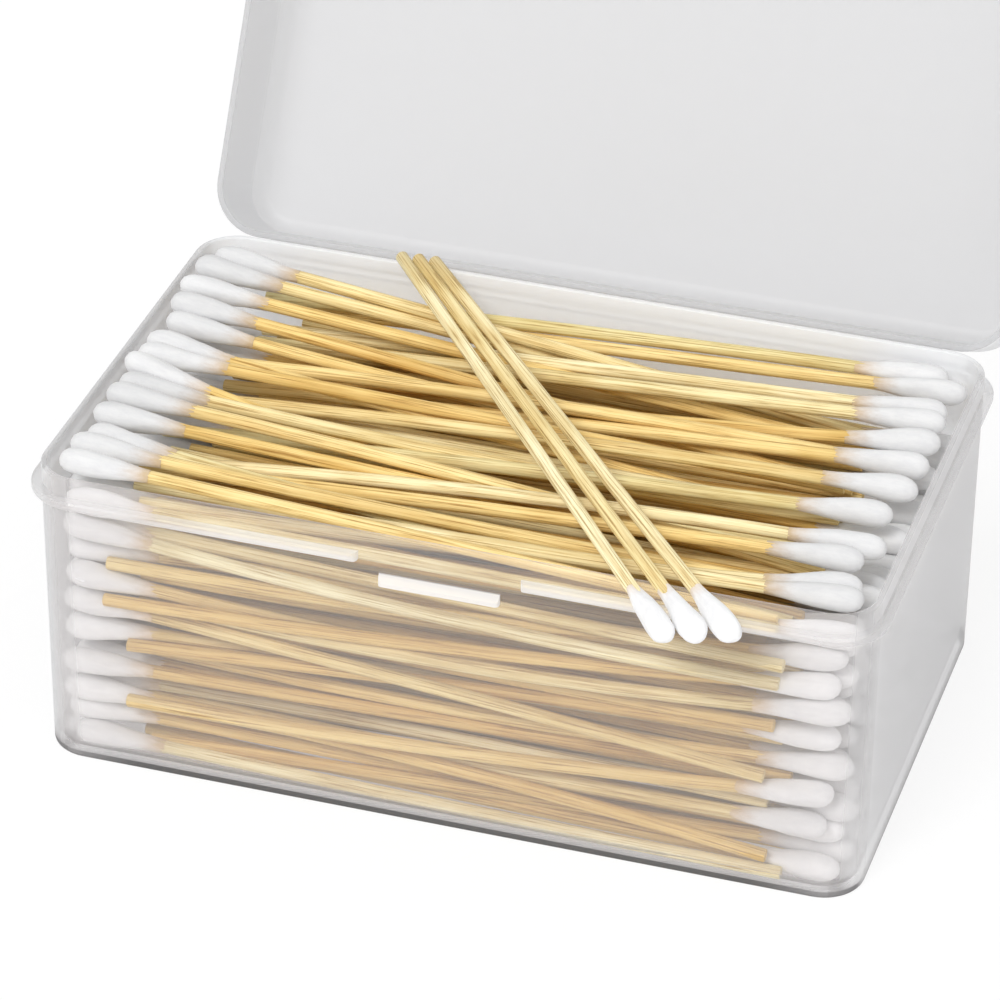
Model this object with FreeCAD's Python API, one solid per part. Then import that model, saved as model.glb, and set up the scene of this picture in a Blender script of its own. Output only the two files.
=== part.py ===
import FreeCAD, Part
import math
import os

# Clear plastic box of wooden cotton swabs, millimetres.
# X runs along the box, +Y is the hinge side, +Z is up.
# The origin is the centre of the tub's base.

Vector = FreeCAD.Vector
X_AXIS = Vector(1, 0, 0)

# Tub
rim_length = 167.0
rim_width = 102.0
tub_height = 65.0
tub_corner_radius = 8.8
tub_draft_deg = 0.3
tub_wall = 1.2
tub_floor = 1.4
base_edge_radius = 1.0
floor_edge_radius = 2.0
lip_edge_radius = 0.35

# Ledge that the lid sits on, with its open stretch at the front
lip_height = 3.9
ledge_thickness = 1.9
ledge_reach = 2.0
ledge_edge_radius = 0.6
ledge_gap_length = 32.4
ledge_end_radius = 1.6

# Catch bar under the open stretch of the ledge
catch_length = 24.0
catch_height = 2.6
catch_reach = 1.5
catch_drop = 7.8
catch_nose = 0.9
catch_end_radius = 0.8

# Lid
lid_depth = 23.4
lid_wall = 1.3
lid_top = 1.3
lid_draft_deg = 0.8
lid_edge_radius = 4.6
lid_rim_edge_radius = 0.3
lid_open_deg = 120.0

# Tongue at the lid's front edge, which snaps over the catch bar
tongue_length = 26.0
tongue_thickness = 1.2
tongue_clearance = 0.25
hook_reach = 0.9
hook_height = 1.4
hook_clearance = 0.15
tongue_corner_radius = 3.0

# Thin bending web between the ledge and the lid
web_length = 144.0
web_thickness = 0.45
web_half_width = 1.5

# Swab
swab_length = 150.0
stick_diameter = 2.7
head_diameter = 5.5
head_length = 17.0
head_widest_at = 4.0
head_neck_wall = 0.2
stick_end_cover = 3.0

# Packing of the swabs
widest_column_pitch = 4.2
side_gap = 1.4
row_pitch = 4.3
top_layer_room = 9.0
end_gap = 0.6
seat_gap = 0.1
stagger_step = 0.45
stagger_count = 5
pile_crown = 2.0
left_heap = 1.0

# Three swabs laid across the front and back lips. For each, where its butt
# lies along the box as a share of the rim, how far the butt is inside the
# back rim, and how far the head's neck is outside the front rim.
loose_places = ((-0.247, 0.8, 4.75), (-0.226, 0.65, 3.0), (-0.205, 0.5, 1.15))
lay_gap = 0.02

# Derived places
ledge_top_z = tub_height - lip_height
hinge_y = rim_width / 2 + ledge_reach + web_half_width
stick_radius = stick_diameter / 2
head_radius = head_diameter / 2
first_row_z = tub_floor + head_radius + seat_gap
row_count = 1 + int((tub_height - top_layer_room - first_row_z) / row_pitch)
last_row_z = first_row_z + (row_count - 1) * row_pitch
first_column_y = -(rim_width / 2 - tub_wall - side_gap - head_radius)
column_count = 1 + math.ceil(-2 * first_column_y / widest_column_pitch)
column_pitch = -2 * first_column_y / (column_count - 1)


def rounded_outline(length, width, radius, z):
    """Closed rectangle with round corners, centred on the Z axis."""
    half_l = length / 2
    half_w = width / 2
    diagonal = radius * (1 - math.sqrt(0.5))
    edges = []
    for turn in range(4):
        along, across = (half_l, half_w) if turn % 2 == 0 else (half_w, half_l)
        start = Vector(along - radius, -across, z)
        arc = Part.Arc(
            start,
            Vector(along - diagonal, -across + diagonal, z),
            Vector(along, -across + radius, z),
        ).toShape()
        side = Part.makeLine(Vector(-along + radius, -across, z), start)
        for edge in (side, arc):
            edge.rotate(Vector(0, 0, 0), Vector(0, 0, 1), 90 * turn)
            edges.append(edge)
    return Part.Wire(edges)


def drafted_block(length, width, radius, wide_z, narrow_z, draft_deg):
    """Block with round corners that narrows by the draft away from wide_z."""
    inset = abs(narrow_z - wide_z) * math.tan(math.radians(draft_deg))
    wide = rounded_outline(length, width, radius, wide_z)
    narrow = rounded_outline(
        length - 2 * inset, width - 2 * inset, radius - inset, narrow_z
    )
    return Part.makeLoft([wide, narrow], True, True)


def edges_at_height(shape, z):
    """Edges that lie flat at one height."""
    box_edges = []
    for edge in shape.Edges:
        box = edge.BoundBox
        if abs(box.ZMin - z) < 0.01 and abs(box.ZMax - z) < 0.01:
            box_edges.append(edge)
    return box_edges


def ledge_ring():
    """Flange round the tub, open and round-ended at the front centre."""
    bottom = ledge_top_z - ledge_thickness
    outline = rounded_outline(
        rim_length + 2 * ledge_reach,
        rim_width + 2 * ledge_reach,
        tub_corner_radius + ledge_reach,
        bottom,
    )
    plate = Part.Face(outline).extrude(Vector(0, 0, ledge_thickness))
    edges = edges_at_height(plate, bottom) + edges_at_height(plate, ledge_top_z)
    plate = plate.makeFillet(ledge_edge_radius, edges)
    front = -rim_width / 2
    gap = Part.makeBox(
        ledge_gap_length,
        2 * ledge_reach,
        2 * ledge_thickness,
        Vector(-ledge_gap_length / 2, front - 2 * ledge_reach, bottom - ledge_thickness / 2),
    )
    plate = plate.cut(gap)
    for side in (-1, 1):
        plate = plate.cut(ledge_end_cutter(side, front, bottom))
    return plate


def ledge_end_cutter(side, front, bottom):
    """Prism with a hollow quarter round, which rounds one end of the ledge."""
    end_x = side * ledge_gap_length / 2
    outer_y = front - ledge_reach
    radius = ledge_end_radius
    z = bottom - ledge_thickness / 2
    corner = Vector(end_x - side, outer_y - 1, z)
    on_end = Vector(end_x - side, outer_y + radius, z)
    arc_start = Vector(end_x, outer_y + radius, z)
    arc_end = Vector(end_x + side * radius, outer_y, z)
    diagonal = radius * (1 - math.sqrt(0.5))
    arc_middle = Vector(end_x + side * diagonal, outer_y + diagonal, z)
    on_front = Vector(end_x + side * radius, outer_y - 1, z)
    wire = Part.Wire(
        [
            Part.makeLine(corner, on_end),
            Part.makeLine(on_end, arc_start),
            Part.Arc(arc_start, arc_middle, arc_end).toShape(),
            Part.makeLine(arc_end, on_front),
            Part.makeLine(on_front, corner),
        ]
    )
    return Part.Face(wire).extrude(Vector(0, 0, 2 * ledge_thickness))


def catch_bar():
    """Bar with a sloping top and a square underside for the hook."""
    face_y = -rim_width / 2
    root_y = face_y + tub_wall / 2
    nose_y = face_y - catch_reach
    top = tub_height - catch_drop
    bottom = top - catch_height
    x = -catch_length / 2
    profile = Part.makePolygon(
        [
            Vector(x, root_y, top),
            Vector(x, face_y, top),
            Vector(x, nose_y, bottom + catch_nose),
            Vector(x, nose_y, bottom),
            Vector(x, root_y, bottom),
            Vector(x, root_y, top),
        ]
    )
    bar = Part.Face(profile).extrude(Vector(catch_length, 0, 0))
    ends = [
        edge
        for edge in bar.Edges
        if abs(edge.BoundBox.YMax - nose_y) < 0.01 and edge.BoundBox.XLength < 0.01
    ]
    return bar.makeFillet(catch_end_radius, ends)


def tub():
    """Open box with drafted walls, lip, ledge and catch bar."""
    outside = drafted_block(
        rim_length, rim_width, tub_corner_radius, tub_height, 0, tub_draft_deg
    )
    outside = outside.makeFillet(base_edge_radius, edges_at_height(outside, 0))
    shell = outside.fuse([ledge_ring(), catch_bar()])
    inside = drafted_block(
        rim_length - 2 * tub_wall,
        rim_width - 2 * tub_wall,
        tub_corner_radius - tub_wall,
        tub_height,
        tub_floor,
        tub_draft_deg,
    )
    inside = inside.makeFillet(floor_edge_radius, edges_at_height(inside, tub_floor))
    shell = shell.cut(inside).removeSplitter()
    return shell.makeFillet(lip_edge_radius, edges_at_height(shell, tub_height))


def lid_tongue():
    """Flat tongue with a hook that reaches under the catch bar."""
    inner_y = -rim_width / 2 - catch_reach - tongue_clearance
    outer_y = inner_y - tongue_thickness
    hook_top = tub_height - catch_drop - catch_height - hook_clearance
    hook_bottom = hook_top - hook_height
    root_z = ledge_top_z + lid_wall
    x = -tongue_length / 2
    profile = Part.makePolygon(
        [
            Vector(x, inner_y, root_z),
            Vector(x, outer_y, root_z),
            Vector(x, outer_y, hook_bottom),
            Vector(x, inner_y, hook_bottom),
            Vector(x, inner_y + hook_reach, hook_top),
            Vector(x, inner_y, hook_top),
            Vector(x, inner_y, root_z),
        ]
    )
    tongue = Part.Face(profile).extrude(Vector(tongue_length, 0, 0))
    corners = [
        edge
        for edge in tongue.Edges
        if abs(edge.BoundBox.ZMax - hook_bottom) < 0.01 and edge.BoundBox.XLength < 0.01
    ]
    return tongue.makeFillet(tongue_corner_radius, corners)


def closed_lid():
    """Deep tray that stands on the ledge outside the lip."""
    length = rim_length + 2 * ledge_reach
    width = rim_width + 2 * ledge_reach
    radius = tub_corner_radius + ledge_reach
    top = ledge_top_z + lid_depth
    outside = drafted_block(length, width, radius, ledge_top_z, top, lid_draft_deg)
    outside = outside.makeFillet(lid_edge_radius, edges_at_height(outside, top))
    ceiling = top - lid_top
    inside = drafted_block(
        length - 2 * lid_wall,
        width - 2 * lid_wall,
        radius - lid_wall,
        ledge_top_z,
        ceiling,
        lid_draft_deg,
    )
    inside = inside.makeFillet(lid_edge_radius - lid_wall, edges_at_height(inside, ceiling))
    tray = outside.cut(inside)
    tray = tray.makeFillet(lid_rim_edge_radius, edges_at_height(tray, ledge_top_z))
    return tray.fuse(lid_tongue()).removeSplitter()


def lid():
    """Lid turned back about the middle of the web."""
    shape = closed_lid()
    shape.rotate(Vector(0, hinge_y, ledge_top_z), X_AXIS, -lid_open_deg)
    return shape


def hinge_web():
    """Thin strip that bends from the ledge's edge up to the open lid's edge."""
    bend = math.radians(180 - lid_open_deg)
    rise = web_half_width / math.tan(bend / 2)
    centre_z = ledge_top_z + rise
    upper_radius = rise + ledge_edge_radius
    lower_radius = upper_radius + web_thickness
    start_y = hinge_y - web_half_width
    x = -web_length / 2

    def on_arc(radius, angle):
        return Vector(
            x, start_y + radius * math.sin(angle), centre_z - radius * math.cos(angle)
        )

    upper = [on_arc(upper_radius, share * bend) for share in (0, 0.5, 1)]
    lower = [on_arc(lower_radius, share * bend) for share in (0, 0.5, 1)]
    wire = Part.Wire(
        [
            Part.Arc(*upper).toShape(),
            Part.makeLine(upper[2], lower[2]),
            Part.Arc(lower[2], lower[1], lower[0]).toShape(),
            Part.makeLine(lower[0], upper[0]),
        ]
    )
    return Part.Face(wire).extrude(Vector(web_length, 0, 0))


def swab_stick(head_seat):
    """Stick along -X, from where it stops in the head to its cut end."""
    return Part.makeCylinder(
        stick_radius, swab_length - head_seat, Vector(-head_seat, 0, 0), -X_AXIS
    )


def turned_head(inner_end):
    """Wound cotton head: a stepped dome, then the long taper to the neck."""
    dome = [
        Vector(0, 0.5 * head_radius, 0),
        Vector(-0.25 * head_widest_at, 0.86 * head_radius, 0),
        Vector(-head_widest_at, head_radius, 0),
    ]
    neck = Vector(-head_length, stick_radius + head_neck_wall, 0)
    tip = Vector(0, 0, 0)
    profile = Part.makePolygon([tip] + dome + [neck] + inner_end + [tip])
    return Part.Face(profile).revolve(tip, X_AXIS, 360)


def full_head():
    """Head with a bore, which the stick fills to near the tip."""
    bore_mouth = Vector(-head_length, stick_radius, 0)
    bore_end = Vector(-stick_end_cover, stick_radius, 0)
    bore_centre = Vector(-stick_end_cover, 0, 0)
    return turned_head([bore_mouth, bore_end, bore_centre])


def packed_head():
    """Solid head for the pile, which meets its stick at the neck."""
    return turned_head([Vector(-head_length, 0, 0)])


def laid(shape, tip, butt):
    """Copy of a shape that was made along -X, moved onto the line tip to butt."""
    copy = shape.copy()
    copy.Placement = FreeCAD.Placement(tip, FreeCAD.Rotation(X_AXIS, tip - butt))
    return copy


def column_y(column):
    return first_column_y + column * column_pitch


def crown_drop(y):
    """How far the crowned top of the pile lies below its middle line."""
    half_width = column_count * column_pitch / 2
    radius = (half_width**2 + pile_crown**2) / (2 * pile_crown)
    return radius - math.sqrt(radius**2 - y**2)


def row_z(column, row):
    """Height of a row, with the rows closer where the pile's top is lower."""
    drop = crown_drop(column_y(column))
    return first_row_z + row * (row_pitch - drop / (row_count - 1))


def tip_x(column, stagger, z):
    """Distance of a head's tip from the middle of the box."""
    draft_inset = (tub_height - z) * math.tan(math.radians(tub_draft_deg))
    corner = tub_corner_radius - tub_wall - draft_inset
    corner_start = rim_width / 2 - tub_corner_radius
    into_corner = max(0, abs(column_y(column)) + head_radius - corner_start)
    corner_inset = corner - math.sqrt(corner**2 - into_corner**2)
    return rim_length / 2 - tub_wall - draft_inset - corner_inset - end_gap - stagger


def heads_left(column, row):
    return (column + row) % 2 == 0


def right_heads_top(y):
    return last_row_z + head_radius - crown_drop(y)


def left_heads_top(y):
    return right_heads_top(y) + left_heap


def swab_line(column, row):
    """Tip and butt of one packed swab."""
    y = column_y(column)
    side = -1 if heads_left(column, row) else 1
    stagger = (7 * column + 3 * row) % stagger_count * stagger_step
    if row < row_count:
        head_z = row_z(column, row)
        butt_z = head_z
    elif side < 0:
        head_z = left_heads_top(y) + head_radius + seat_gap
        butt_z = right_heads_top(y) + stick_radius + seat_gap
    else:
        head_z = right_heads_top(y) + head_radius + seat_gap
        butt_z = left_heads_top(y) + stick_radius + seat_gap
    x = tip_x(column, stagger, head_z)
    tip = Vector(side * x, y, head_z)
    run = math.sqrt(swab_length**2 - (head_z - butt_z) ** 2)
    butt = Vector(side * (x - run), y, butt_z)
    return tip, butt


def packed_swabs(places):
    """Sticks, left heads and right heads of the swabs at the given places."""
    groups = {"sticks": [], "heads_left": [], "heads_right": []}
    stick = swab_stick(head_length)
    head = packed_head()
    for column, row in places:
        tip, butt = swab_line(column, row)
        groups["sticks"].append(laid(stick, tip, butt))
        side = "heads_left" if heads_left(column, row) else "heads_right"
        groups[side].append(laid(head, tip, butt))
    return {name: Part.makeCompound(shapes) for name, shapes in groups.items()}


def rounded_foot(bundle, end_x, low_z):
    """The same bundle, rounded at its end to suit the tub's floor."""
    foot = [
        edge
        for edge in edges_at_height(bundle, low_z)
        if abs(edge.BoundBox.XMax - end_x) < 0.01 and edge.BoundBox.XLength < 0.01
    ]
    return bundle.makeFillet(floor_edge_radius, foot)


def crowned_bundle(x_from, x_to, y_from, y_to, z_from, top_of):
    """Bundle of hidden swabs: straight along X, with the pile's crowned top."""
    low_front = Vector(x_from, y_from, z_from)
    low_back = Vector(x_from, y_to, z_from)
    high_back = Vector(x_from, y_to, top_of(y_to))
    high_front = Vector(x_from, y_from, top_of(y_from))
    crown = Part.Arc(high_back, Vector(x_from, 0, top_of(0)), high_front).toShape()
    wire = Part.Wire(
        [
            Part.makeLine(low_front, low_back),
            Part.makeLine(low_back, high_back),
            crown,
            Part.makeLine(high_front, low_front),
        ]
    )
    return Part.Face(wire).extrude(Vector(x_to - x_from, 0, 0))


def inner_bundles():
    """Hidden swabs between the front and back columns, below the top layer."""
    middle_column = column_count // 2
    heads_end = tip_x(middle_column, 0, 0)
    longest_stagger = (stagger_count - 1) * stagger_step
    sticks_end = tip_x(0, longest_stagger, 0) - head_length - seat_gap
    heads_start = sticks_end + seat_gap
    back = column_y(column_count - 1)
    heads_front = column_y(0) + head_radius + seat_gap
    sticks_front = column_y(0) + stick_radius + seat_gap
    heads_back = back - head_radius - seat_gap
    sticks_back = back - stick_radius - seat_gap
    heads_low = first_row_z - head_radius
    left = crowned_bundle(
        -heads_end, -heads_start, heads_front, heads_back, heads_low, left_heads_top
    )
    right = crowned_bundle(
        heads_start, heads_end, heads_front, heads_back, heads_low, right_heads_top
    )
    return {
        "inner_heads_left": rounded_foot(left, -heads_end, heads_low),
        "inner_heads_right": rounded_foot(right, heads_end, heads_low),
        "inner_sticks": crowned_bundle(
            -sticks_end,
            sticks_end,
            sticks_front,
            sticks_back,
            first_row_z - stick_radius,
            lambda y: right_heads_top(y) - head_radius + stick_radius,
        ),
    }


def loose_swab(index):
    """One swab laid across both lips with its head out over the front."""
    butt_share, butt_inset, neck_outset = loose_places[index]
    butt_y = rim_width / 2 - butt_inset
    butt_to_neck = swab_length - head_length
    heading = math.asin((rim_width + neck_outset - butt_inset) / butt_to_neck)
    butt = Vector(butt_share * rim_length, butt_y, tub_height + stick_radius + lay_gap)
    tip = butt + Vector(math.cos(heading), -math.sin(heading), 0) * swab_length
    return laid(swab_stick(stick_end_cover), tip, butt), laid(full_head(), tip, butt)


def build_nodes():
    nodes = {"tub": tub(), "hinge_web": hinge_web(), "lid": lid()}
    top_layer = [(column, row_count) for column in range(column_count)]
    front_column = [(0, row) for row in range(row_count)]
    back_column = [(column_count - 1, row) for row in range(row_count)]
    layers = {"top": top_layer, "front": front_column, "back": back_column}
    for layer, places in layers.items():
        for name, shape in packed_swabs(places).items():
            nodes[layer + "_" + name] = shape
    nodes.update(inner_bundles())
    for index in range(len(loose_places)):
        stick, head = loose_swab(index)
        nodes["loose_stick_%d" % (index + 1)] = stick
        nodes["loose_head_%d" % (index + 1)] = head
    return nodes


os.makedirs("parts", exist_ok=True)
for node_name, node_shape in build_nodes().items():
    if not node_shape.isValid():
        raise ValueError(node_name + " is not a valid shape")
    node_shape.exportStep("parts/" + node_name + ".step")
    print(node_name, len(node_shape.Solids), round(node_shape.Volume, 1))
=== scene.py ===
import math

import bpy
import numpy as np
from mathutils import Matrix, Vector


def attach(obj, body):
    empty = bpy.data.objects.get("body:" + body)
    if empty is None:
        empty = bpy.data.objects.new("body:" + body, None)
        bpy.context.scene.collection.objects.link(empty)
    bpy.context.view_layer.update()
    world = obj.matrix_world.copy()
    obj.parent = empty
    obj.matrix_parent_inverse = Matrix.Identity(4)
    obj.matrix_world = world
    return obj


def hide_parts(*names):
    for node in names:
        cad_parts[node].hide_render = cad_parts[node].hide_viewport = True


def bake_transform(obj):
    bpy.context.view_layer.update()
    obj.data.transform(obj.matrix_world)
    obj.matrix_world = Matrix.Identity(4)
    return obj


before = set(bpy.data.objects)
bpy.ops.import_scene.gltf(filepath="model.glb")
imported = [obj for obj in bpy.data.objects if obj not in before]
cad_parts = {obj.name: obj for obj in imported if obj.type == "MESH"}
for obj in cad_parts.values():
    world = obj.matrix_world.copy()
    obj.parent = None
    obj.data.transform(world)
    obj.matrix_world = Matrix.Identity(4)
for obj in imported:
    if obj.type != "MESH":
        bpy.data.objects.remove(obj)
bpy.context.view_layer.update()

# Frosted plastic box of wooden cotton swabs, in metres.
# X runs along the box, +Y is the hinge side, +Z is up.
MM = 0.001
rng = np.random.default_rng(7)

# Inside of the tub
INNER_LENGTH = 164.6 * MM
INNER_WIDTH = 99.6 * MM
INNER_CORNER = 7.6 * MM
TUB_HEIGHT = 65.0 * MM
TUB_FLOOR = 1.4 * MM
DRAFT = math.tan(math.radians(0.3))

# Swab
SWAB_LENGTH = 150.0 * MM
STICK_RADIUS = 1.35 * MM
HEAD_RADIUS = 2.75 * MM
HEAD_LENGTH = 19.0 * MM
LOOSE_HEAD_LENGTH = 17.0 * MM
HEAD_PROFILE_MM = (
    (0.0, 0.0),
    (0.12, 0.75),
    (0.45, 1.42),
    (1.1, 2.05),
    (2.2, 2.53),
    (4.2, 2.75),
    (6.5, 2.69),
    (9.0, 2.46),
    (11.5, 2.13),
    (14.0, 1.80),
    (16.5, 1.53),
    (19.0, 1.37),
)

# Pile
PILE_COLUMNS = 23
PILE_ROWS = 13
COLUMN_PITCH = 4.15 * MM
ROW_PITCH = 4.4 * MM
END_GAP = 0.5 * MM
MOST_STAGGER = 4.5 * MM
LOW_COLUMNS = 3
SHORTEST_SHARE = 0.95
LONGEST_SHARE = 0.985
SKEW = np.array((3.4, 1.8)) * MM
BOW = 1.3 * MM
SAG = 0.2 * MM
BOW_EASE = 0.35
HOLD = 0.35
STATIONS_MM = (0, 17, 34, 50, 62, 68, 72, 76, 79)
SETTLE_STEPS = 420
DROPPING_SHARE = 0.75
DROP_PER_STEP = 0.02 * MM
PUSH = 1.6
BOW_PULL = 0.03
PAIR_REACH = 9 * MM
PAIR_STEPS = 20
LOOSE_START = -50 * MM
ROOM_UNDER_LOOSE = TUB_HEIGHT - 0.15 * MM
ROOM_UNDER_LID = TUB_HEIGHT + 4.3 * MM

# Top layer, as the photograph shows it: tip along, across and up, butt across and up
TOP_SWABS_MM = (
    (-78.6, 40.5, 65.5, 33.5, 58.5),
    (-80.4, 33.6, 66.3, 38.0, 58.0),
    (-80.8, 25.9, 66.0, 29.5, 58.5),
    (-80.5, 19.4, 65.2, 11.0, 58.0),
    (-79.8, 15.3, 63.7, 20.5, 57.0),
    (-80.6, 6.2, 63.8, 2.0, 58.0),
    (-80.2, 0.1, 64.2, 7.5, 58.5),
    (-80.9, -5.5, 65.1, -14.0, 58.0),
    (-80.0, -10.5, 63.6, -4.0, 57.0),
    (-80.5, -16.4, 64.2, -21.0, 58.0),
    (-80.7, -23.0, 63.5, -15.5, 57.5),
    (-79.9, -28.5, 61.9, -36.0, 57.5),
    (-81.0, -34.5, 63.0, -29.5, 58.0),
    (-80.5, -41.5, 63.6, -45.0, 58.0),
    (75.4, 46.8, 60.5, 42.5, 60.0),
    (80.4, 41.6, 61.0, 45.5, 60.5),
    (78.2, 33.8, 60.5, 30.0, 60.0),
    (79.2, 28.2, 61.5, 25.8, 61.5),
    (79.7, 21.9, 60.5, 16.5, 60.0),
    (79.7, 12.1, 61.0, 9.9, 62.0),
    (79.6, 3.2, 60.5, -1.2, 63.5),
    (77.1, -7.2, 61.0, -12.8, 62.5),
    (78.7, -18.6, 60.5, -23.5, 63.0),
    (75.9, -25.5, 61.5, -27.0, 60.0),
    (77.6, -33.0, 60.5, -38.6, 61.5),
    (79.2, -38.8, 61.5, -33.0, 60.0),
)

# Swabs seen through the front wall: tip along the box, height of tip and of butt, and layer
FRONT_SWABS_MM = (
    (-78.0, 57.3, 58.3, 1),
    (-78.7, 51.9, 46.5, 0),
    (78.0, 51.4, 45.5, 1),
    (-78.5, 45.2, 46.0, 1),
    (-78.7, 39.9, 41.1, 1),
    (77.3, 46.3, 37.7, 0),
    (79.8, 40.5, 35.5, 1),
    (-78.9, 35.2, 23.8, 0),
    (-79.2, 27.8, 29.0, 1),
    (77.3, 32.5, 26.2, 1),
    (-79.5, 20.9, 22.4, 1),
    (77.2, 22.1, 14.9, 0),
    (-79.3, 14.5, 5.6, 0),
    (76.2, 14.4, 11.5, 1),
    (80.7, 5.8, 3.6, 1),
    (-77.1, 4.4, 3.0, 0),
)
LAYER_Y_MM = (-48.2, -44.6)
PAST_BUTT = 0.07
FRONT_HEADS = -36 * MM
FRONT_HEADS_TOP = 58 * MM

# Detail of the swabs' meshes
STICK_START = 0.6 * HEAD_LENGTH
STICK_CUT = 0.12 * MM
STICK_RINGS = 9
COTTON_WOBBLE = 0.022
WOBBLE_PER_METRE = 420
PILE_STICK_SIDES = 10
PILE_HEAD_SIDES = 14
PILE_HEAD_RINGS = 12
LOOSE_STICK_SIDES = 20
LOOSE_HEAD_SIDES = 32
LOOSE_HEAD_RINGS = 30

# Loose swabs, from butt to tip, across both lips
LOOSE_BUTTS_MM = ((-41.25, 50.2), (-37.74, 50.35), (-34.24, 50.5))
LOOSE_HEADINGS_DEG = (-52.8, -51.7, -50.5)
LAY_GAP = 0.02 * MM
LOOSE_STICK_TONES = (1.0, 0.85, 0.95)
LOOSE_HEAD_TONE = 1.0
LOOSE_FULLNESS = 0.97

# Bending strip between the ledge and the lid
WEB_LENGTH = 144.0 * MM
WEB_BEND_DEG = 60.0
WEB_START_Y = 53.0 * MM
WEB_CENTRE_Z = 63.698 * MM
WEB_UPPER_RADIUS = 3.198 * MM
WEB_LOWER_RADIUS = 3.648 * MM
WEB_STEPS = 12

# Zones of the tub's plastic and of the floor under it: where each starts, and how
# wide its soft edge is. Several place painted shade and a painted highlight on the plastic
ZONES_MM = {
    "ledge": (51.15, 0.25),
    "ledge_ends": (40, 36),
    "catch_ends": (13, 1),
    "rear": (43, 6),
    "rear_height": (20, 30),
    "foot": (46, 2),
    "foot_ends": (62, 18),
    "end_foot": (80.5, 1),
    "corner_along": (75, 3),
    "corner_across": (42, 4),
    "foot_shade_line": (-1.9, 0.2),
    "foot_shade_band": (-4.6, 2.6),
    "end_wall": (79, 3),
    "away": (-45, 95),
    "behind_front": (-49, 3),
    "left_wall_shade": (78, 3),
    "floor_along": (79, 2),
    "floor_across": (46, 2),
}

# Camera, worked out from the photograph's outlines
CAMERA_PLACE = Vector((0.24154, -0.79632, 0.56614))
CAMERA_YAW_DEG = 17.136
CAMERA_PITCH_DEG = 32.056
CAMERA_ROLL_DEG = 0.624
CAMERA_LENS = 178.12


def head_radius_at(distance):
    """Radius of the cotton at a distance from the tip."""
    profile = np.array(HEAD_PROFILE_MM) * MM
    return np.interp(distance, profile[:, 0], profile[:, 1], left=0.0, right=0.0)


# Materials


class Nodes:
    """Short way to write a material's node tree."""

    def __init__(self, name):
        self.material = bpy.data.materials.new(name)
        self.material.use_nodes = True
        self.tree = self.material.node_tree
        self.tree.nodes.clear()

    def add(self, kind, settings=None, **inputs):
        node = self.tree.nodes.new(kind)
        for key, value in (settings or {}).items():
            setattr(node, key, value)
        for key, value in inputs.items():
            self.link(value, self.socket(node, key))
        return node

    def socket(self, node, key):
        if key.startswith("i") and key[1:].isdigit():
            return node.inputs[int(key[1:])]
        return node.inputs[key.replace("_", " ")]

    def link(self, value, socket):
        if isinstance(value, bpy.types.NodeSocket):
            self.tree.links.new(value, socket)
        else:
            socket.default_value = value

    def ramp(self, factor, stops):
        node = self.add("ShaderNodeValToRGB", i0=factor)
        elements = node.color_ramp.elements
        while len(elements) < len(stops):
            elements.new(0.5)
        for element, (place, colour) in zip(elements, stops):
            element.position = place
            element.color = (*colour, 1.0)
        return node.outputs[0]

    def math(self, kind, first, second=0.0, third=0.0, clamp=False):
        settings = {"operation": kind, "use_clamp": clamp}
        return self.add("ShaderNodeMath", settings, i0=first, i1=second, i2=third).outputs[0]

    def times(self, first, second):
        return self.math("MULTIPLY", first, second)

    def without(self, share):
        return self.math("SUBTRACT", 1.0, share)

    def mix(self, factor, first, second, blend="MIX"):
        settings = {"data_type": "RGBA", "blend_type": blend}
        node = self.add("ShaderNodeMix", settings)
        self.link(factor, node.inputs[0])
        self.link(first, node.inputs[6])
        self.link(second, node.inputs[7])
        return node.outputs[2]

    def finish(self, shader):
        self.add("ShaderNodeOutputMaterial", Surface=shader)
        return self.material


def rest_vector(nodes, scale):
    """A swab's own coordinates, stretched by a scale along each axis."""
    attribute = nodes.add("ShaderNodeAttribute", {"attribute_name": "swab_place"})
    mapping = nodes.add("ShaderNodeMapping", Vector=attribute.outputs["Vector"])
    mapping.inputs["Scale"].default_value = scale
    return mapping.outputs[0]


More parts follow.
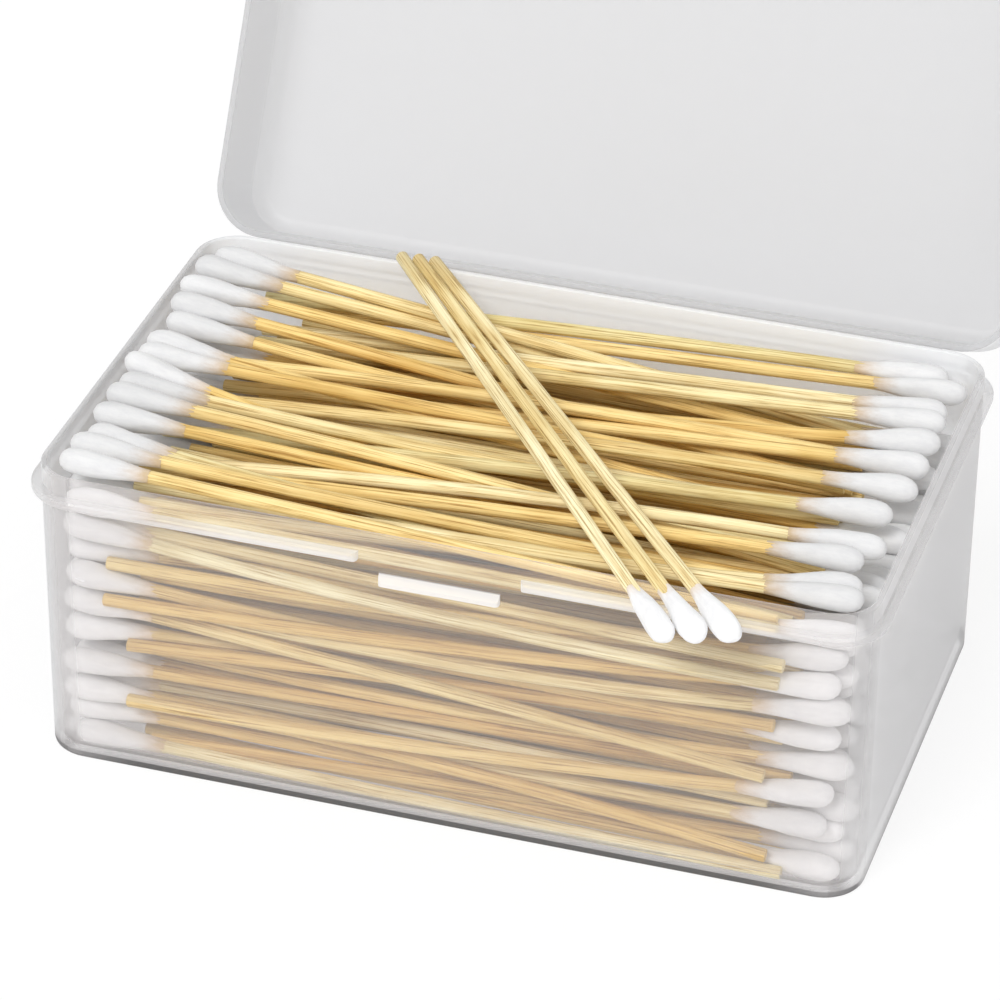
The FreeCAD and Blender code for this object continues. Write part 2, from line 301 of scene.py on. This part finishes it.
def bamboo_material():
    nodes = Nodes("bamboo")
    # Tone sets the stick's colour: random, with painted light that makes front sticks paler.
    tone = nodes.add("ShaderNodeAttribute", {"attribute_name": "swab_tone"})
    base = nodes.ramp(
        tone.outputs["Fac"],
        (
            (0.0, (0.60, 0.37, 0.12)),
            (0.25, (0.79, 0.55, 0.20)),
            (0.55, (0.91, 0.69, 0.29)),
            (0.80, (0.91, 0.76, 0.40)),
            (0.87, (0.90, 0.79, 0.46)),
            (0.895, (0.80, 0.72, 0.38)),
            (0.92, (0.92, 0.81, 0.49)),
            (1.0, (0.98, 0.91, 0.61)),
        ),
    )
    fibre = nodes.add(
        "ShaderNodeTexNoise",
        Vector=rest_vector(nodes, (60.0, 3200.0, 3200.0)),
        Scale=1.0,
        Detail=3.0,
        Roughness=0.65,
    )
    streak = nodes.add(
        "ShaderNodeTexNoise",
        Vector=rest_vector(nodes, (22.0, 950.0, 950.0)),
        Scale=1.0,
        Detail=1.0,
        Roughness=0.5,
    )
    blotch = nodes.add(
        "ShaderNodeTexNoise",
        Vector=rest_vector(nodes, (45.0, 60.0, 60.0)),
        Scale=1.0,
        Detail=2.0,
        Roughness=0.6,
    )
    fibre_shade = nodes.ramp(
        fibre.outputs[0],
        ((0.34, (0.42, 0.29, 0.15)), (0.45, (0.86, 0.79, 0.68)), (0.55, (1.0, 1.0, 1.0))),
    )
    streak_shade = nodes.ramp(
        streak.outputs[0],
        ((0.36, (0.70, 0.57, 0.38)), (0.50, (0.98, 0.97, 0.95)), (0.68, (1.03, 1.03, 1.03))),
    )
    blotch_shade = nodes.ramp(
        blotch.outputs[0],
        ((0.3, (0.88, 0.82, 0.68)), (0.55, (1.0, 1.0, 1.0)), (0.8, (1.04, 1.03, 0.98))),
    )
    colour = nodes.mix(0.85, base, fibre_shade, "MULTIPLY")
    colour = nodes.mix(0.45, colour, streak_shade, "MULTIPLY")
    colour = nodes.mix(0.9, colour, blotch_shade, "MULTIPLY")
    bump = nodes.add("ShaderNodeBump", Height=fibre.outputs[0], Strength=0.35, Distance=0.00008)
    shader = nodes.add(
        "ShaderNodeBsdfPrincipled",
        Base_Color=colour,
        Roughness=0.6,
        Specular_IOR_Level=0.22,
        Normal=bump.outputs[0],
    )
    return nodes.finish(shader.outputs[0])


def cotton_material():
    nodes = Nodes("cotton")
    place = nodes.add("ShaderNodeAttribute", {"attribute_name": "swab_place"})
    along = nodes.add("ShaderNodeSeparateXYZ", Vector=place.outputs["Vector"]).outputs[0]
    thread = nodes.add(
        "ShaderNodeTexNoise",
        Vector=rest_vector(nodes, (900.0, 300.0, 300.0)),
        Scale=1.0,
        Detail=4.0,
        Roughness=0.6,
    )
    fluff = nodes.add(
        "ShaderNodeTexNoise",
        Vector=rest_vector(nodes, (260.0, 900.0, 900.0)),
        Scale=1.0,
        Detail=4.0,
        Roughness=0.7,
    )
    neck = nodes.math("MULTIPLY_ADD", fluff.outputs[0], 0.0055, along)
    neck = nodes.math("MULTIPLY_ADD", neck, 1 / 0.006, 0.0158 / 0.006, clamp=True)
    bare = nodes.ramp(
        neck,
        (
            (0.0, (0.70, 0.54, 0.35)),
            (0.3, (0.76, 0.66, 0.56)),
            (0.7, (0.80, 0.775, 0.75)),
            (1.0, (0.83, 0.83, 0.83)),
        ),
    )
    shade = nodes.ramp(
        fluff.outputs[0], ((0.35, (0.90, 0.90, 0.915)), (0.6, (1.0, 1.0, 1.0)))
    )
    colour = nodes.mix(0.7, bare, shade, "MULTIPLY")
    # Tone greys or brightens the cotton: random, with painted light on the front heads.
    tone = nodes.add("ShaderNodeAttribute", {"attribute_name": "swab_tone"}).outputs["Fac"]
    grey = nodes.ramp(tone, ((0.0, (0.80, 0.80, 0.80)), (1.0, (1.05, 1.05, 1.05))))
    colour = nodes.mix(1.0, colour, grey, "MULTIPLY")
    height = nodes.math("MULTIPLY_ADD", thread.outputs[0], 0.35, fluff.outputs[0])
    bump = nodes.add("ShaderNodeBump", Height=height, Strength=0.45, Distance=0.00012)
    shader = nodes.add(
        "ShaderNodeBsdfPrincipled",
        Base_Color=colour,
        Roughness=0.95,
        Specular_IOR_Level=0.15,
        Sheen_Weight=0.2,
        Normal=bump.outputs[0],
    )
    return nodes.finish(shader.outputs[0])


def past(nodes, value, zone):
    """0 up to a zone's start, then rising to 1 over its soft edge."""
    start, width = ZONES_MM[zone]
    return nodes.math("DIVIDE", nodes.math("SUBTRACT", value, start * MM), width * MM, clamp=True)


def tub_zones(nodes, place, cover, colour):
    """The tub's ledge and catch bar, whiter partly as thicker plastic and partly as a painted
    highlight; a milky upper back wall; and painted shade: a dark line and grey band along
    the foot, end walls greyer toward the back and a greyer left end wall.

    Each zone is a share from 0 to 1 that tints the plastic and makes it cover more."""
    x, y, z = nodes.add("ShaderNodeSeparateXYZ", Vector=place).outputs
    along = nodes.math("ABSOLUTE", x)
    across = nodes.math("ABSOLUTE", y)
    depth = nodes.times(z, -1.0)

    # Ledge and catch bar cover more and are tinted whiter: partly the thicker plastic there,
    # partly a painted highlight, strongest in the middle and fading toward the ledge's ends.
    ledge_middle = nodes.math("MULTIPLY_ADD", past(nodes, along, "ledge_ends"), -0.75, 1.0)
    ledge = nodes.times(past(nodes, across, "ledge"), ledge_middle)
    catch = nodes.without(past(nodes, along, "catch_ends"))
    ledge_cover = nodes.times(ledge, nodes.math("MULTIPLY_ADD", catch, 0.22, 0.43))
    rear = nodes.times(past(nodes, y, "rear"), past(nodes, z, "rear_height"))

    # Painted shade along the foot: a near-black line over the lowest 1.8 mm and a grey band above
    # it, fading out by about 4.6 mm. They stand for the contact shadow at the floor's edge and
    # the shadowed space under the lowest sticks, and are weaker on the end walls.
    foot_middle = nodes.math("MULTIPLY_ADD", past(nodes, along, "foot_ends"), -0.3, 1.0)
    foot = nodes.times(past(nodes, across, "foot"), foot_middle)
    end_foot = nodes.times(past(nodes, along, "end_foot"), 0.35)
    corner = nodes.times(
        past(nodes, along, "corner_along"), past(nodes, across, "corner_across")
    )
    foot_ends = nodes.math("MAXIMUM", end_foot, nodes.times(corner, 0.8))
    foot = nodes.math("MAXIMUM", foot, foot_ends)
    line = nodes.times(past(nodes, depth, "foot_shade_line"), foot)
    shade_band = nodes.times(past(nodes, depth, "foot_shade_band"), foot)

    # Painted shade: both end walls greyer toward the back.
    end_wall = past(nodes, along, "end_wall")
    far_end_shade = nodes.times(end_wall, past(nodes, y, "away"))
    front = nodes.without(past(nodes, y, "behind_front"))
    front = nodes.times(front, nodes.without(end_wall))
    # Painted shade: the left end wall greyer and more covering all over.
    left_wall_shade = past(nodes, nodes.times(x, -1.0), "left_wall_shade")

    # Tints in turn: painted shade on the end walls, a warm tint on the front wall, painted shade
    # on the left end wall, the milky back, the ledge's whiter plastic and painted highlight, and
    # the painted shade of the foot band and foot line.
    for share, amount, tint in (
        (far_end_shade, 0.3, (0.70, 0.705, 0.715, 1.0)),
        (front, 1.0, (0.95, 0.91, 0.905, 1.0)),
        (left_wall_shade, 0.6, (0.79, 0.80, 0.81, 1.0)),
        (rear, 1.0, (0.97, 0.985, 1.0, 1.0)),
        (ledge, 1.0, (0.97, 0.97, 0.975, 1.0)),
        (shade_band, 0.8, (0.34, 0.32, 0.325, 1.0)),
        (line, 0.9, (0.10, 0.10, 0.10, 1.0)),
    ):
        colour = nodes.mix(nodes.times(share, amount), colour, tint)

    milky = nodes.math("MAXIMUM", ledge_cover, nodes.times(rear, 0.4))
    cover = nodes.math("ADD", cover, milky)
    # The painted shade on the left end wall and on the foot band and line also covers more.
    cover = nodes.math("MULTIPLY_ADD", left_wall_shade, 0.12, cover)
    cover = nodes.math("MULTIPLY_ADD", shade_band, 0.3, cover)
    cover = nodes.math("MULTIPLY_ADD", line, 0.6, cover, clamp=True)
    return cover, colour


def frosted_material(name, covers, face_colour, edge_colour, passing, is_tub=False):
    """Milky see-through plastic that covers more where it is seen edge on.

    Light goes on through it more freely than sight does, as in real milky plastic."""
    face_cover, edge_cover, lamp_share = covers
    nodes = Nodes(name)
    place = nodes.add("ShaderNodeTexCoord").outputs["Object"]
    facing = nodes.add("ShaderNodeLayerWeight", Blend=0.5).outputs["Facing"]
    edge = nodes.math("POWER", facing, 2.5)
    cover = nodes.math("MULTIPLY_ADD", edge, edge_cover - face_cover, face_cover, clamp=True)
    colour = nodes.mix(edge, (*face_colour, 1.0), (*edge_colour, 1.0))
    if is_tub:
        cover, colour = tub_zones(nodes, place, cover, colour)
    path = nodes.add("ShaderNodeLightPath")
    lamp = nodes.math("MAXIMUM", path.outputs["Is Shadow Ray"], path.outputs["Is Diffuse Ray"])
    pass_on = nodes.math("MULTIPLY_ADD", lamp, lamp_share - 1.0, 1.0)
    cover = nodes.times(cover, pass_on)
    diffuse = nodes.add("ShaderNodeBsdfDiffuse", Color=colour)
    through = nodes.add("ShaderNodeBsdfTranslucent", Color=colour)
    milk = nodes.add(
        "ShaderNodeMixShader", i0=passing, i1=diffuse.outputs[0], i2=through.outputs[0]
    )
    clear = nodes.add("ShaderNodeBsdfTransparent", Color=(0.99, 0.985, 0.985, 1.0))
    body = nodes.add("ShaderNodeMixShader", i0=cover, i1=clear.outputs[0], i2=milk.outputs[0])
    gloss = nodes.add("ShaderNodeBsdfGlossy", Roughness=0.4)
    shine = nodes.add("ShaderNodeFresnel", IOR=1.4)
    shine = nodes.times(shine.outputs[0], 0.4)
    surface = nodes.add("ShaderNodeMixShader", i0=shine, i1=body.outputs[0], i2=gloss.outputs[0])
    return nodes.finish(surface.outputs[0])


def stage_material():
    """White to the camera beside the tub, with a faint shadow, and a plain pale floor
    under the tub and to the light."""
    nodes = Nodes("stage_white")
    path = nodes.add("ShaderNodeLightPath")
    seen = nodes.math("MAXIMUM", path.outputs["Is Camera Ray"], path.outputs["Is Glossy Ray"])
    seen = nodes.math("MAXIMUM", seen, path.outputs["Is Transmission Ray"])
    place = nodes.add("ShaderNodeTexCoord").outputs["Object"]
    x, y, _ = nodes.add("ShaderNodeSeparateXYZ", Vector=place).outputs
    along = past(nodes, nodes.math("ABSOLUTE", x), "floor_along")
    across = past(nodes, nodes.math("ABSOLUTE", y), "floor_across")
    beside_tub = nodes.math("MAXIMUM", along, across)
    lift = nodes.times(nodes.times(seen, beside_tub), 0.84)
    floor = nodes.add("ShaderNodeBsdfDiffuse", Color=(0.95, 0.95, 0.95, 1.0))
    white = nodes.add("ShaderNodeEmission", Color=(1.0, 1.0, 1.0, 1.0), Strength=1.0)
    mixed = nodes.add("ShaderNodeMixShader", i0=lift, i1=floor.outputs[0], i2=white.outputs[0])
    return nodes.finish(mixed.outputs[0])


# Pile of swabs


def near_pairs(spots, reach):
    """Pairs of swabs that come within reach of each other at some station."""
    first, second = np.triu_indices(len(spots), 1)
    gap = np.linalg.norm(spots[first] - spots[second], axis=2).min(axis=1)
    close = gap < reach
    return first[close], second[close]


def side_limit(station_x, radius, height):
    """How far from the middle a round of this radius may lie, at the tub's side."""
    inset = (TUB_HEIGHT - height) * DRAFT
    corner_start = INNER_LENGTH / 2 - INNER_CORNER
    into = np.clip(np.abs(station_x) - corner_start, 0, INNER_CORNER * 0.98)
    bite = INNER_CORNER - np.sqrt(INNER_CORNER**2 - into**2)
    return INNER_WIDTH / 2 - inset - bite - radius


def pile_places():
    """Each swab before it settles: tip along the box, both ends' place, and what is held.

    Ends are given at the two farthest stations, left end first, as across and height."""
    column, row = np.meshgrid(np.arange(1, PILE_COLUMNS), np.arange(PILE_ROWS))
    there = (column < PILE_COLUMNS - LOW_COLUMNS) | (row < PILE_ROWS - 1)
    column, row = column[there], row[there]
    side = np.where((column + row) % 2 == 0, -1.0, 1.0)
    tip = side * (INNER_LENGTH / 2 - END_GAP - rng.random(len(side)) * MOST_STAGGER)
    across = (column - (PILE_COLUMNS - 1) / 2) * COLUMN_PITCH
    height = TUB_FLOOR + HEAD_RADIUS + row * ROW_PITCH
    spot = np.stack([across, height], 1)
    ends = spot[:, None] + rng.normal(0.0, 1.0, (len(side), 2, 2)) * SKEW
    held = np.zeros((len(side), 2, 2), bool)
    top = np.array(TOP_SWABS_MM) * MM
    top_ends = np.zeros((len(top), 2, 2))
    top_held = np.zeros((len(top), 2, 2), bool)
    for index, swab in enumerate(top):
        end = int(swab[0] > 0)
        top_ends[index, end] = swab[1:3]
        top_ends[index, 1 - end] = swab[3:5]
        top_held[index, end] = True
        top_held[index, 1 - end, 0] = True
    front_tip = np.array([swab[0] for swab in FRONT_SWABS_MM]) * MM
    front_ends = np.zeros((len(front_tip), 2, 2))
    front_held = np.zeros((len(front_tip), 2, 2), bool)
    front_held[..., 1] = True
    for index, (x, tip_z, butt_z, layer) in enumerate(FRONT_SWABS_MM):
        end = int(x > 0)
        front_ends[index, :, 0] = LAYER_Y_MM[layer] * MM
        front_ends[index, end, 1] = tip_z * MM
        front_ends[index, 1 - end, 1] = (butt_z + (butt_z - tip_z) * PAST_BUTT) * MM
    return (
        np.concatenate([tip, top[:, 0], front_tip]),
        np.concatenate([ends, top_ends, front_ends]),
        np.concatenate([held, top_held, front_held]),
    )


def station_radii(tip, side, length, stations):
    """Radius of each swab at each station along the box, 0 beyond its ends."""
    from_tip = (tip[:, None] - stations[None]) * side[:, None]
    there = (from_tip > 0) & (from_tip < length[:, None])
    radius = np.maximum(STICK_RADIUS, head_radius_at(from_tip))
    return np.where(there, radius, 0.0)


def settled_pile():
    """Swabs dropped into the tub and pushed apart: (tip, butt, bow) of each.

    A swab is held by three places: its two ends, and how far its middle bows."""
    tip, ends, is_held = pile_places()
    side = np.sign(tip)
    count = len(side)
    length = SWAB_LENGTH * rng.uniform(SHORTEST_SHARE, LONGEST_SHARE, count)
    butt = tip - side * length
    half = np.array(STATIONS_MM) * MM
    stations = np.concatenate([-half[:0:-1], half])
    reach = stations[-1]
    share = stations / (2 * reach) + 0.5
    radius = station_radii(tip, side, length, stations)
    shape = np.stack([1 - share, share, 4 * share * (1 - share)])
    ease = np.array([1.0, 1.0, BOW_EASE])
    weight = shape * ease[:, None]
    weight /= (shape**2 * ease[:, None]).sum(0)
    own_bow = rng.normal(0.0, BOW, (count, 2)) - np.array([0.0, SAG])
    held = np.concatenate([ends, own_bow[:, None]], 1)
    room = np.where(stations < LOOSE_START, ROOM_UNDER_LID, ROOM_UNDER_LOOSE)
    for step in range(SETTLE_STEPS):
        spots = np.einsum("nec,ek->nkc", held, shape)
        if step % PAIR_STEPS == 0:
            first, second = near_pairs(spots, PAIR_REACH)
            both = (radius[first] > 0) & (radius[second] > 0)
        apart = spots[first] - spots[second]
        gap = np.linalg.norm(apart, axis=2) + 1e-9
        over = np.where(both, radius[first] + radius[second] - gap, 0.0)
        over = np.clip(over, 0.0, None)
        push = apart / gap[..., None] * (0.5 * over)[..., None]
        moves = np.zeros(spots.shape)
        np.add.at(moves, first, push)
        np.add.at(moves, second, -push)
        hits = np.zeros(radius.shape)
        np.add.at(hits, first, over > 0)
        np.add.at(hits, second, over > 0)
        low = np.where(radius > 0, TUB_FLOOR + radius - spots[..., 1], 0.0)
        low = np.clip(low, 0, None)
        limit = side_limit(stations[None], radius, spots[..., 1])
        wide = np.where(radius > 0, np.abs(spots[..., 0]) - limit, 0.0)
        wide = np.clip(wide, 0, None)
        high = np.where(radius > 0, spots[..., 1] + radius - room, 0.0)
        high = np.clip(high, 0, None)
        moves[..., 1] += low - high
        moves[..., 0] -= np.sign(spots[..., 0]) * wide
        hits += (low > 0) * 1.0 + (high > 0) + (wide > 0)
        total = np.maximum(hits.sum(1), 1.0)
        held += PUSH * np.einsum("nkc,ek->nec", moves, weight) / total[:, None, None]
        held[:, 2] += BOW_PULL * (own_bow - held[:, 2])
        if step < DROPPING_SHARE * SETTLE_STEPS:
            held[:, :2, 1] -= DROP_PER_STEP
        held[:, :2] += np.where(is_held, HOLD * (ends - held[:, :2]), 0.0)
    swabs = []
    for index in range(count):
        places = []
        for x in (tip[index], butt[index]):
            part = x / (2 * reach) + 0.5
            y, z = np.array([1 - part, part, 4 * part * (1 - part)]) @ held[index]
            places.append(Vector((float(x), float(y), float(z))))
        span = (length[index] / (2 * reach)) ** 2
        bow = Vector((0.0, *(held[index, 2] * span).tolist()))
        swabs.append((*places, bow))
    return swabs


# Meshes


def swept(swab, distances, radii, sides, wobble=0.0, close_far=True):
    """Rings round a swab's line from tip to butt, at distances from the tip."""
    tip, butt, bend = swab
    axis = (butt - tip).normalized()
    across = Vector((0, 0, 1)).cross(axis).normalized()
    other = axis.cross(across)
    length = (butt - tip).length
    angles = np.linspace(0, 2 * math.pi, sides, endpoint=False)
    turn = rng.random() * 2 * math.pi
    distances = np.asarray(distances)
    radii = np.asarray(radii)
    share = distances / length
    bow = 4 * share * (1 - share)
    ring = np.stack([np.cos(angles + turn), np.sin(angles + turn)], 1)
    scale = np.ones((len(distances), sides))
    if wobble:
        waves = rng.normal(0.0, wobble, (3, 2))
        for order in range(3):
            turns = distances[:, None] * WOBBLE_PER_METRE * (order - 1)
            phase = angles[None] * (order + 2) + turns
            scale += waves[order, 0] * np.cos(phase) + waves[order, 1] * np.sin(phase)
    local = ring[None] * (radii[:, None] * scale)[..., None]
    centre = np.array(tip)[None] + distances[:, None] * np.array(axis)[None]
    centre = centre + bow[:, None] * np.array(bend)[None]
    points = centre[:, None] + local[..., :1] * np.array(across)
    points = points + local[..., 1:] * np.array(other)
    rest = np.empty(points.shape)
    rest[..., 0] = -distances[:, None]
    rest[..., 1:] = local
    points = points.reshape(-1, 3)
    rest = rest.reshape(-1, 3)
    faces = []
    for level in range(len(distances) - 1):
        for spot in range(sides):
            after = (spot + 1) % sides
            low = level * sides
            high = low + sides
            faces.append((low + spot, low + after, high + after, high + spot))
    last = (len(distances) - 1) * sides
    caps = [tuple(range(sides))[::-1]]
    if close_far:
        caps.append(tuple(range(last, last + sides)))
    return points, rest, faces, caps


def joined_mesh(name, parts, material, tones_and_light):
    """One object from many swept parts, with each part's own coordinates and its tone, which
    carries painted light for swabs at the front.
    """
    points, rest, tone, faces, smooth = [], [], [], [], []
    base = 0
    for index, (part_points, part_rest, part_faces, part_caps) in enumerate(parts):
        points.append(part_points)
        offset = np.array([0.0, 0.037, 0.053]) * (index + 1)
        rest.append(part_rest + offset * 0.37)
        tone.append(np.full(len(part_points), tones_and_light[index]))
        faces += [tuple(base + corner for corner in face) for face in part_faces]
        faces += [tuple(base + corner for corner in face) for face in part_caps]
        smooth += [True] * len(part_faces) + [False] * len(part_caps)
        base += len(part_points)
    points = np.concatenate(points)
    mesh = bpy.data.meshes.new(name)
    mesh.from_pydata(points.tolist(), [], faces)
    mesh.polygons.foreach_set("use_smooth", smooth)
    place = mesh.attributes.new("swab_place", "FLOAT_VECTOR", "POINT")
    place.data.foreach_set("vector", np.concatenate(rest).astype(np.float32).ravel())
    shade = mesh.attributes.new("swab_tone", "FLOAT", "POINT")
    shade.data.foreach_set("value", np.concatenate(tone).astype(np.float32))
    mesh.materials.append(material)
    mesh.validate()
    piece = bpy.data.objects.new(name, mesh)
    bpy.context.scene.collection.objects.link(piece)
    return piece


def stick_part(swab, sides):
    length = (swab[1] - swab[0]).length
    rings = np.linspace(STICK_START, length - STICK_CUT, STICK_RINGS)
    distances = np.concatenate([rings, [length]])
    radii = STICK_RADIUS * (rng.uniform(0.97, 1.02) + rng.normal(0, 0.008, len(distances)))
    radii[-1] -= STICK_CUT
    return swept(swab, distances, radii, sides)


def head_part(swab, sides, rings, length=HEAD_LENGTH, fullness=1.0):
    share = np.linspace(0.0, 1.0, rings) ** 1.5
    share[0] = 0.004
    radii = head_radius_at(share * HEAD_LENGTH) * fullness * rng.uniform(0.96, 1.0)
    radii = np.maximum(radii, 0.4 * STICK_RADIUS)
    radii[-1] = STICK_RADIUS * 0.98
    return swept(swab, share * length, radii, sides, COTTON_WOBBLE, close_far=False)


def pile_pieces(swabs, materials):
    """Sticks, left heads and right heads of the pile, as three pieces."""
    sticks, heads = [], {-1: [], 1: []}
    tones_and_light, head_tones_and_light = [], {-1: [], 1: []}
    for swab in swabs:
        side = 1 if swab[0].x > swab[1].x else -1
        sticks.append(stick_part(swab, PILE_STICK_SIDES))
        heads[side].append(head_part(swab, PILE_HEAD_SIDES, PILE_HEAD_RINGS))
        # Painted light: swabs low at the front get paler sticks and brighter heads, standing in
        # for the light the front wall keeps from them; the rest of the tone is random.
        in_front = swab[0].y < FRONT_HEADS and swab[0].z < FRONT_HEADS_TOP
        tones_and_light.append(rng.beta(2.2, 1.7) + 0.12 * in_front)
        head_tones_and_light[side].append(0.4 * rng.random() + 0.6 * in_front)
    pieces = {"sticks": joined_mesh("pile_sticks", sticks, materials["bamboo"], tones_and_light)}
    for side, word in ((-1, "left"), (1, "right")):
        pieces[word] = joined_mesh(
            "pile_heads_" + word, heads[side], materials["cotton"], head_tones_and_light[side]
        )
    return pieces


def add_pile(materials):
    pieces = pile_pieces(settled_pile(), materials)
    endings = {"sticks": "_sticks", "left": "_heads_left", "right": "_heads_right"}
    for word, ending in endings.items():
        stood_for = [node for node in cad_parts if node.endswith(ending)]
        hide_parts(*stood_for)
    for piece in pieces.values():
        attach(piece, "tub")


def add_loose_swabs(materials):
    for index, (x, y) in enumerate(LOOSE_BUTTS_MM):
        heading = math.radians(LOOSE_HEADINGS_DEG[index])
        butt = Vector((x * MM, y * MM, TUB_HEIGHT + STICK_RADIUS + LAY_GAP))
        tip = butt + Vector((math.cos(heading), math.sin(heading), 0)) * SWAB_LENGTH
        swab = (tip, butt, Vector((0.0, 0.0, 0.0)))
        number = str(index + 1)
        stick_mesh = stick_part(swab, LOOSE_STICK_SIDES)
        stick = joined_mesh(
            "loose_bamboo_" + number,
            [stick_mesh],
            materials["bamboo"],
            [LOOSE_STICK_TONES[index]],
        )
        head_mesh = head_part(
            swab, LOOSE_HEAD_SIDES, LOOSE_HEAD_RINGS, LOOSE_HEAD_LENGTH, LOOSE_FULLNESS
        )
        head = joined_mesh(
            "loose_cotton_" + number,
            [head_mesh],
            materials["cotton"],
            [LOOSE_HEAD_TONE],
        )
        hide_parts("loose_stick_" + number)
        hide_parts("loose_head_" + number)
        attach(stick, "tub")
        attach(head, "tub")


# Box


def dress_box(materials):
    for node in ("tub", "lid"):
        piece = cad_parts[node]
        piece.data.materials.clear()
        piece.data.materials.append(materials[node])


def add_hinge_web(materials):
    """Thin strip that curves from the ledge up to the open lid."""
    angles = np.radians(np.linspace(0.0, WEB_BEND_DEG, WEB_STEPS + 1))
    rings = []
    for x in (-WEB_LENGTH / 2, WEB_LENGTH / 2):
        for radius in (WEB_UPPER_RADIUS, WEB_LOWER_RADIUS):
            y = WEB_START_Y + radius * np.sin(angles)
            z = WEB_CENTRE_Z - radius * np.cos(angles)
            rings.append(np.stack([np.full(len(angles), x), y, z], 1))
    count = len(angles)
    faces = [(0, count, 3 * count, 2 * count)]
    faces.append((count - 1, 3 * count - 1, 4 * count - 1, 2 * count - 1))
    for step in range(count - 1):
        a, b, c, d = (step + corner * count for corner in range(4))
        faces.append((a, c, c + 1, a + 1))
        faces.append((b, b + 1, d + 1, d))
        faces.append((a, a + 1, b + 1, b))
        faces.append((c, d, d + 1, c + 1))
    mesh = bpy.data.meshes.new("web_strip")
    mesh.from_pydata(np.concatenate(rings).tolist(), [], faces)
    mesh.materials.append(materials["tub"])
    piece = bpy.data.objects.new("web_strip", mesh)
    bpy.context.scene.collection.objects.link(piece)
    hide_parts("hinge_web")
    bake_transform(piece)


# Stage, lights and camera


def add_stage():
    half = 3.0
    corners = [(-half, -half, 0), (half, -half, 0), (half, half, 0), (-half, half, 0)]
    mesh = bpy.data.meshes.new("floor")
    mesh.from_pydata(corners, [], [(0, 1, 2, 3)])
    mesh.materials.append(stage_material())
    floor = bpy.data.objects.new("floor", mesh)
    bpy.context.scene.collection.objects.link(floor)


def add_light():
    world = bpy.data.worlds.new("studio")
    bpy.context.scene.world = world
    world.use_nodes = True
    tree = world.node_tree
    tree.nodes.clear()
    path = tree.nodes.new("ShaderNodeLightPath")
    seen = tree.nodes.new("ShaderNodeMath")
    seen.operation = "MAXIMUM"
    tree.links.new(path.outputs["Is Camera Ray"], seen.inputs[0])
    tree.links.new(path.outputs["Is Transmission Ray"], seen.inputs[1])
    ambient = tree.nodes.new("ShaderNodeBackground")
    ambient.inputs["Color"].default_value = (1.0, 1.0, 1.0, 1.0)
    ambient.inputs["Strength"].default_value = 0.66
    white = tree.nodes.new("ShaderNodeBackground")
    white.inputs["Strength"].default_value = 1.0
    white.inputs["Color"].default_value = (1.0, 1.0, 1.0, 1.0)
    mixed = tree.nodes.new("ShaderNodeMixShader")
    tree.links.new(seen.outputs[0], mixed.inputs[0])
    tree.links.new(ambient.outputs[0], mixed.inputs[1])
    tree.links.new(white.outputs[0], mixed.inputs[2])
    output = tree.nodes.new("ShaderNodeOutputWorld")
    tree.links.new(mixed.outputs[0], output.inputs[0])
    for name, energy, angle, toward in (
        ("key", 1.8, 20, Vector((-0.2, -0.75, 0.9))),
        ("fill", 0.5, 60, Vector((0.75, -0.55, 0.4))),
    ):
        lamp = bpy.data.lights.new(name, "SUN")
        lamp.energy = energy
        lamp.angle = math.radians(angle)
        light = bpy.data.objects.new(name, lamp)
        bpy.context.scene.collection.objects.link(light)
        light.rotation_mode = "QUATERNION"
        light.rotation_quaternion = toward.to_track_quat("Z", "Y")
        light.location = toward


def add_camera():
    yaw = math.radians(CAMERA_YAW_DEG)
    pitch = math.radians(CAMERA_PITCH_DEG)
    roll = math.radians(CAMERA_ROLL_DEG)
    back = Vector(
        (math.sin(yaw) * math.cos(pitch), -math.cos(yaw) * math.cos(pitch), math.sin(pitch))
    )
    level = Vector((math.cos(yaw), math.sin(yaw), 0))
    above = back.cross(level)
    right = level * math.cos(roll) + above * math.sin(roll)
    up = above * math.cos(roll) - level * math.sin(roll)
    data = bpy.data.cameras.new("camera")
    data.lens = CAMERA_LENS
    data.sensor_width = 36.0
    camera = bpy.data.objects.new("camera", data)
    bpy.context.scene.collection.objects.link(camera)
    turn = Matrix((right, up, back)).transposed().to_4x4()
    camera.matrix_world = Matrix.Translation(CAMERA_PLACE) @ turn
    bpy.context.scene.camera = camera


bpy.context.scene.view_settings.view_transform = "Standard"
materials = {
    "bamboo": bamboo_material(),
    "cotton": cotton_material(),
    "tub": frosted_material(
        "frosted_tub", (0.12, 0.8, 0.2), (0.94, 0.93, 0.94), (0.88, 0.88, 0.89), 0.3, True
    ),
    "lid": frosted_material(
        "frosted_lid", (0.5, 0.95, 0.4), (0.765, 0.77, 0.785), (0.96, 0.965, 0.975), 0.5
    ),
}
add_pile(materials)
add_loose_swabs(materials)
dress_box(materials)
add_hinge_web(materials)
add_stage()
add_light()
add_camera()
